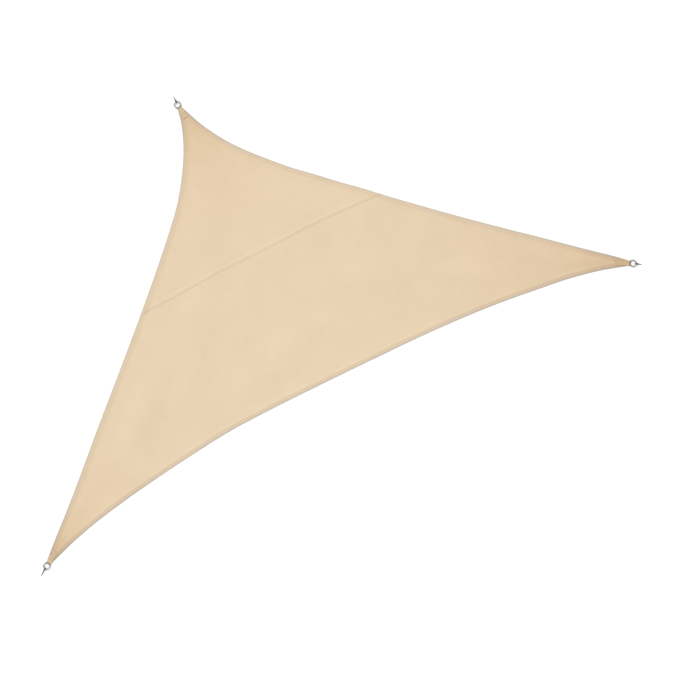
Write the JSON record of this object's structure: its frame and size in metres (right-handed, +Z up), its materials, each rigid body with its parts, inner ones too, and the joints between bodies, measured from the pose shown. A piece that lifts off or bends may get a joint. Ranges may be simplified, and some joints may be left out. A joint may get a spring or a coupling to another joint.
{
  "type": "shade sail",
  "caption": "triangular cloth shade sail with hollowed hemmed edges, a felled seam, webbing corner tabs with steel rings, and short tie ends, lying flat",
  "frame": {"origin": "on the surface the sail lies on, under the middle of the box that the cloth and its rings span", "axes": "+X runs along the long edge from the left corner to the right corner, +Y points from the long edge to the apex, +Z up out of the cloth's face"},
  "size_m": [4.36, 2.3573, 0.0166],
  "materials": {
    "cloth": "beige plain-woven polyester, matt",
    "webbing": "beige ribbed polyester webbing",
    "ring_steel": "smooth stainless steel wire",
    "tie_cord": "grey braided cord"
  },
  "bodies": {
    "root": {"panel_base": "cloth", "panel_apex": "cloth", "tab_left": "webbing", "tab_right": "webbing", "tab_apex": "webbing", "ring_left": "ring_steel", "ring_right": "ring_steel", "ring_apex": "ring_steel", "tie_knot_left": "tie_cord", "tie_knot_right": "tie_cord", "tie_knot_apex": "tie_cord", "tie_end_left": "tie_cord", "tie_end_right": "tie_cord", "tie_end_apex": "tie_cord"}
  },
  "joints": []
}
